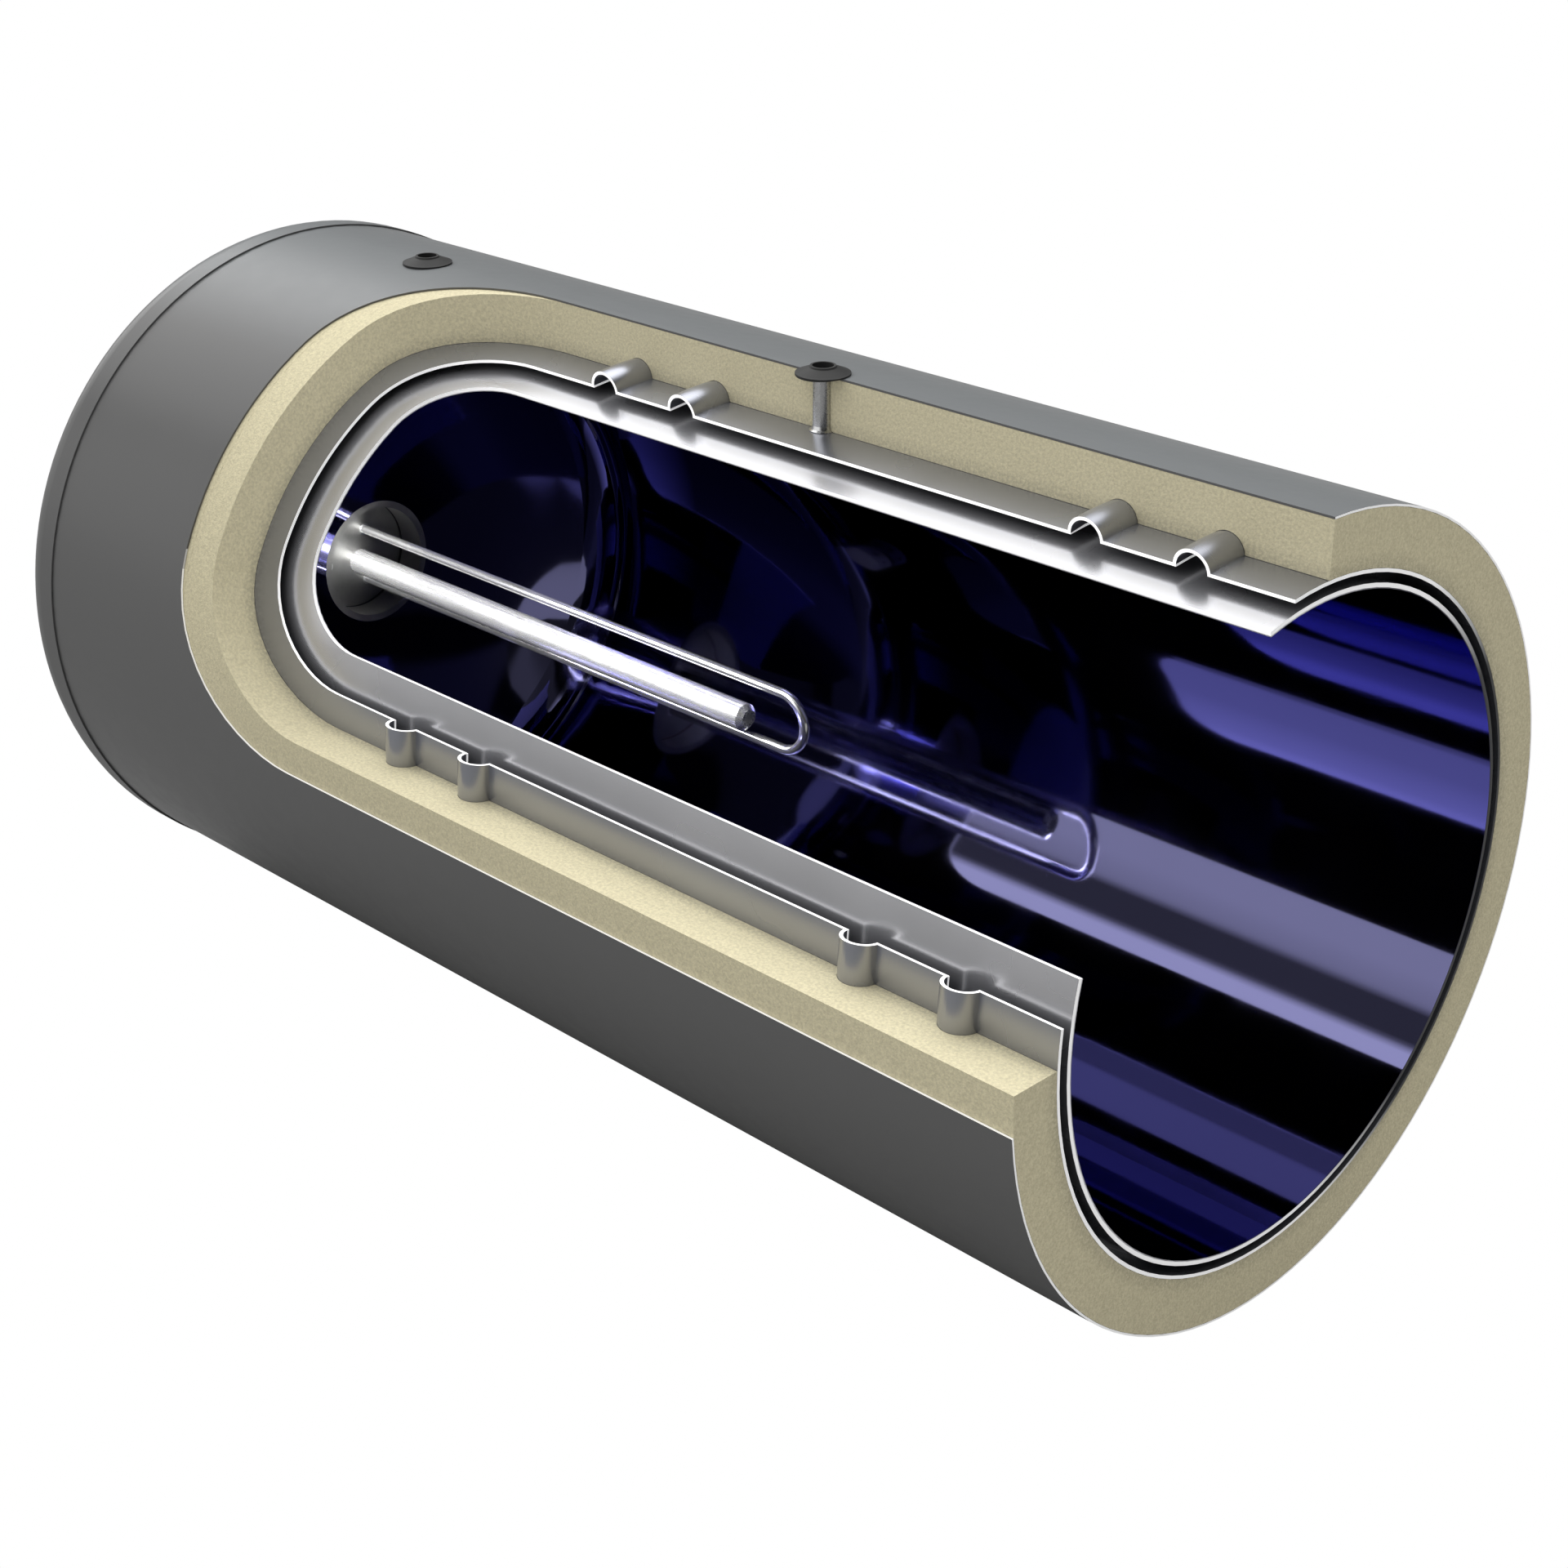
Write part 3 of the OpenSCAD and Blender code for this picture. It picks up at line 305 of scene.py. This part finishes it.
def magnesium():
    """Pale extruded rod, duller than the tube, with coarser streaks along it."""
    s = Shader("magnesium", (0.88, 0.88, 0.88), 0.26, 0.9)
    drawn = s.noise(1.0, 3.0, 0.6, s.stretched((20.0, 700.0, 700.0)))
    s.feed("Roughness", s.ramp(drawn, 0.3, 0.7, 0.22, 0.34))
    s.feed("Base Color", s.mix(s.noise(16.0, 3.0), (0.82, 0.82, 0.82), (0.92, 0.92, 0.92)))
    s.bump(drawn, 0.00001, 0.3)
    return s.material


def collar_plastic():
    s = Shader("collar_plastic", (0.034, 0.034, 0.034), 0.55)
    s.set("Specular IOR Level", 0.25)
    s.feed("Base Color", s.mix(s.noise(40.0, 3.0), (0.030, 0.030, 0.030), (0.039, 0.039, 0.038)))
    s.bump(s.noise(1500.0, 2.0), 0.00004, 0.3)
    return s.material


def plastic(name, color, roughness=0.5, grain_scale=900.0):
    s = Shader(name, color, roughness)
    darker = tuple(0.88 * c for c in color)
    s.feed("Base Color", s.mix(s.noise(25.0, 3.0), darker, color))
    s.feed("Roughness", s.ramp(s.noise(120.0, 3.0), 0.3, 0.7, roughness - 0.06, roughness + 0.06))
    s.bump(s.noise(grain_scale, 2.0), 0.00005, 0.35)
    return s.material


def metal(name, color, roughness, grain_scale=500.0):
    s = Shader(name, color, roughness, 1.0)
    darker = tuple(0.82 * c for c in color)
    s.feed("Base Color", s.mix(s.noise(35.0, 4.0), darker, color))
    grain = s.noise(grain_scale, 3.0)
    s.feed("Roughness", s.ramp(grain, 0.3, 0.7, roughness - 0.06, roughness + 0.08))
    s.bump(grain, 0.00006, 0.3)
    return s.material


def make_materials():
    return {
        "casing_paint": casing_paint(),
        "foam": foam(),
        "jacket_steel": shell_steel("jacket_steel", (0.31, 0.32, 0.36), (0.36, 0.37, 0.41)),
        "tank_steel": shell_steel("tank_steel", (0.46, 0.46, 0.48), (0.52, 0.52, 0.54)),
        "enamel": enamel(),
        "dark_steel": dark_steel(),
        "polished_rod": polished_rod(),
        "magnesium": magnesium(),
        "collar_plastic": collar_plastic(),
        "rubber": plastic("rubber", (0.030, 0.030, 0.031), 0.7, 600.0),
        "white_plastic": plastic("white_plastic", (0.72, 0.72, 0.69), 0.45),
        "black_plastic": plastic("black_plastic", (0.055, 0.055, 0.057), 0.48),
        "red_plastic": plastic("red_plastic", (0.50, 0.035, 0.030), 0.35),
        "ceramic": plastic("ceramic", (0.80, 0.77, 0.70), 0.55),
        "brass": metal("brass", (0.72, 0.52, 0.22), 0.28),
        "zinc": metal("zinc", (0.60, 0.61, 0.60), 0.34),
        "pipe_steel": metal("pipe_steel", (0.56, 0.56, 0.56), 0.26),
    }


DRESS = {
    "casing_paint": ["casing_shell", "end_cap"],
    "foam": ["head_foam", "insulation_foam", "cap_foam"],
    "jacket_steel": ["jacket_shell"],
    "tank_steel": ["inner_tank", "tank_head"],
    "enamel": ["enamel_lining"],
    "dark_steel": ["neck_flange", "flange_plate"],
    "polished_rod": ["heating_tube"],
    "magnesium": ["anode_rod"],
    "collar_plastic": ["hot_outlet_collar", "jacket_port_collar", "cold_inlet_collar",
                       "jacket_return_collar"],
    "rubber": ["cap_seal", "flange_gasket", "cover_seal", "foot_collars"],
    "white_plastic": ["thermostat_body", "terminal_block", "electrical_pan", "inlet_diffuser"],
    "black_plastic": ["thermostat_knob", "service_cover", "cable_gland", "gland_locknut"],
    "red_plastic": ["reset_button"],
    "ceramic": ["terminal_insulators"],
    "brass": ["terminal_nuts", "block_screws", "earth_stud"],
    "zinc": ["flange_studs", "flange_washers", "flange_nuts", "tube_bushings", "terminal_pins",
             "anode_core", "anode_nut", "sensor_pocket", "cover_screws", "rivet_nuts", "left_foot",
             "right_foot"],
    "pipe_steel": ["hot_outlet_pipe", "jacket_port_pipe", "cold_inlet_pipe", "jacket_return_pipe"],
}


def dress(materials):
    for name, wearing in DRESS.items():
        for node in wearing:
            mesh = nodes[node].data
            mesh.materials.clear()
            mesh.materials.append(materials[name])


# Floor, backdrop and light

def make_floor():
    """A wide floor that the camera sees as white, and that is a dull grey to all else."""
    mesh = bpy.data.meshes.new("floor")
    half = 30.0
    corners = [(-half, -half, 0), (half, -half, 0), (half, half, 0), (-half, half, 0)]
    mesh.from_pydata(corners, [], [(0, 1, 2, 3)])
    floor = bpy.data.objects.new("floor", mesh)
    bpy.context.scene.collection.objects.link(floor)
    material = bpy.data.materials.new("floor")
    material.use_nodes = True
    tree = material.node_tree
    tree.nodes.clear()
    output = tree.nodes.new("ShaderNodeOutputMaterial")
    rays = tree.nodes.new("ShaderNodeLightPath")
    mix = tree.nodes.new("ShaderNodeMixShader")
    pale = tree.nodes.new("ShaderNodeEmission")
    pale.inputs["Color"].default_value = (*WHITE, 1.0)
    pale.inputs["Strength"].default_value = 1.0
    dim = tree.nodes.new("ShaderNodeBsdfDiffuse")
    dim.inputs["Color"].default_value = (0.30, 0.30, 0.30, 1.0)
    tree.links.new(rays.outputs["Is Camera Ray"], mix.inputs[0])
    tree.links.new(dim.outputs[0], mix.inputs[1])
    tree.links.new(pale.outputs[0], mix.inputs[2])
    tree.links.new(mix.outputs[0], output.inputs[0])
    mesh.materials.append(material)


# Brightness of the studio in reflections, by the angle about the tank's axis: 0 is level at the
# front, 90 straight up, 180 level at the back. Between the stated angles it runs straight.
STUDIO = [
    (-180, 0.12), (-2, 0.12), (2, 0.59), (30, 0.57), (39, 0.46), (42, 0.07), (53, 0.07),
    (56, 0.93), (75, 0.98), (95, 1.4), (108, 2.4), (126, 2.4), (138, 0.40), (160, 0.12),
    (178, 0.10), (180, 0.10),
]
# The same for the light that falls on dull surfaces.
SOFT = [
    (-180, 0.12), (-2, 0.12), (2, 0.54), (30, 0.60), (60, 0.90), (75, 0.95), (95, 1.3),
    (108, 2.1), (128, 2.1), (142, 0.80), (160, 0.40), (178, 0.30), (180, 0.12),
]
# A curve node holds values up to 1, so brightness is stored as a share of this.
TOP_BRIGHTNESS = 4.0
# Share of that brightness towards -X and +X: in reflections the right side is dark.
REFLECTED_LEFT = 1.15
REFLECTED_RIGHT = 0.04
DIFFUSE_LEFT = 2.05
DIFFUSE_RIGHT = 0.0


def fade_towards(tree, along, start, end, at_start, at_end):
    node = tree.nodes.new("ShaderNodeMapRange")
    node.inputs["From Min"].default_value = start
    node.inputs["From Max"].default_value = end
    node.inputs["To Min"].default_value = at_start
    node.inputs["To Max"].default_value = at_end
    tree.links.new(along, node.inputs["Value"])
    return node.outputs["Result"]


def brightness(tree, share, stops, fade):
    """Brightness of the world at a share of the turn round the axis, times its fade along it."""
    curve = tree.nodes.new("ShaderNodeFloatCurve")
    line = curve.mapping.curves[0]
    points = [((degrees + 180.0) / 360.0, value / TOP_BRIGHTNESS) for degrees, value in stops]
    line.points[0].location = points[0]
    line.points[1].location = points[-1]
    for place in points[1:-1]:
        line.points.new(*place)
    for point in line.points:
        point.handle_type = "VECTOR"
    curve.mapping.update()
    tree.links.new(share, curve.inputs["Value"])
    both = tree.nodes.new("ShaderNodeMath")
    both.operation = "MULTIPLY"
    tree.links.new(curve.outputs[0], both.inputs[0])
    tree.links.new(fade, both.inputs[1])
    return both.outputs[0]


def make_world():
    """White for the camera, STUDIO for reflections, SOFT for the light on dull surfaces."""
    world = bpy.data.worlds.new("studio")
    world.use_nodes = True
    tree = world.node_tree
    tree.nodes.clear()
    output = tree.nodes.new("ShaderNodeOutputWorld")
    background = tree.nodes.new("ShaderNodeBackground")
    coords = tree.nodes.new("ShaderNodeTexCoord")
    split = tree.nodes.new("ShaderNodeSeparateXYZ")
    front = tree.nodes.new("ShaderNodeMath")
    front.operation = "MULTIPLY"
    front.inputs[1].default_value = -1.0
    angle = tree.nodes.new("ShaderNodeMath")
    angle.operation = "ARCTAN2"
    tree.links.new(coords.outputs["Generated"], split.inputs[0])
    tree.links.new(split.outputs["Y"], front.inputs[0])
    tree.links.new(split.outputs["Z"], angle.inputs[0])
    tree.links.new(front.outputs[0], angle.inputs[1])
    share = fade_towards(tree, angle.outputs[0], -math.pi, math.pi, 0.0, 1.0)
    seen = fade_towards(tree, split.outputs["X"], 0.0, 0.5, REFLECTED_LEFT, REFLECTED_RIGHT)
    lit = fade_towards(tree, split.outputs["X"], -1.0, 1.0, DIFFUSE_LEFT, DIFFUSE_RIGHT)
    rays = tree.nodes.new("ShaderNodeLightPath")
    choice = tree.nodes.new("ShaderNodeMix")
    tree.links.new(rays.outputs["Is Glossy Ray"], choice.inputs["Factor"])
    tree.links.new(brightness(tree, share, SOFT, lit), choice.inputs["A"])
    tree.links.new(brightness(tree, share, STUDIO, seen), choice.inputs["B"])
    plain = tree.nodes.new("ShaderNodeMix")
    plain.inputs["B"].default_value = 1.0 / TOP_BRIGHTNESS
    tree.links.new(rays.outputs["Is Camera Ray"], plain.inputs["Factor"])
    tree.links.new(choice.outputs["Result"], plain.inputs["A"])
    tree.links.new(plain.outputs["Result"], background.inputs["Strength"])
    background.inputs["Color"].default_value = (TOP_BRIGHTNESS, TOP_BRIGHTNESS, TOP_BRIGHTNESS, 1.0)
    tree.links.new(background.outputs[0], output.inputs[0])
    bpy.context.scene.world = world


def area_light(name, at, towards, size, power):
    data = bpy.data.lights.new(name, "AREA")
    data.shape = "RECTANGLE"
    data.size, data.size_y = size
    data.energy = power
    light = bpy.data.objects.new(name, data)
    light.location = at
    direction = Vector(towards) - Vector(at)
    light.rotation_euler = direction.to_track_quat("-Z", "Y").to_euler()
    bpy.context.scene.collection.objects.link(light)
    light.visible_camera = False
    return light


def reach_only(light, group):
    """Lets a light reach a group of objects alone, and only they cast its shadows."""
    light.light_linking.receiver_collection = group
    light.light_linking.blocker_collection = group


def group_of(name, members):
    group = bpy.data.collections.new(name)
    bpy.context.scene.collection.children.link(group)
    for member in members:
        group.objects.link(nodes[member])
    return group


def panel(name, low, high, radiance, group):
    """A long panel beside the tank between two angles about its axis, for one group alone."""
    middle = math.radians((low + high) / 2.0)
    at = (PANEL_X, -PANEL_AWAY * math.cos(middle), AXIS_Z + PANEL_AWAY * math.sin(middle))
    width = 2.0 * PANEL_AWAY * math.tan(math.radians(high - low) / 2.0)
    power = radiance * math.pi * width * PANEL_LENGTH
    light = area_light(name, at, (PANEL_X, 0.0, AXIS_Z), (PANEL_LENGTH, width), power)
    reach_only(light, group)


PANEL_X = -2.2          # middle of the panels along the tank
PANEL_AWAY = 3.0        # from the axis
PANEL_LENGTH = 6.0
# From and to what angle about the axis each panel reaches, and its radiance.
PANELS = [(-5, 30, 0.60), (30, 62, 1.50), (62, 102, 0.95), (102, 120, 1.05)]

RODS = ["heating_tube", "anode_rod", "anode_core"]
FOAMS = ["head_foam", "insulation_foam"]
SHELLS = ["jacket_shell", "inner_tank", "jacket_port_pipe"]
RODS_MIDDLE = (-0.45, 0.0, 0.30)
SECTION_MIDDLE = (0.5, 0.0, 0.3)


def make_lights():
    """A strip light for the rods alone, a lamp for the foam's end face, panels for the shells."""
    rods = group_of("rods", RODS)
    strip = area_light("rod_strip", at=(-0.45, -0.152, 0.430), towards=RODS_MIDDLE,
                       size=(0.95, 0.12), power=8.5)
    reach_only(strip, rods)
    side = area_light("end_light", at=(4.0, -1.0, 0.9), towards=SECTION_MIDDLE,
                      size=(3.0, 3.0), power=62.0)
    side.visible_glossy = False
    side.light_linking.receiver_collection = group_of("foams", FOAMS)
    shells = group_of("shells", SHELLS)
    for index, (low, high, radiance) in enumerate(PANELS):
        panel("panel_%d" % index, low, high, radiance, shells)


make_camera()
dress(make_materials())
make_floor()
make_world()
make_lights()
bpy.context.scene.view_settings.view_transform = "Standard"
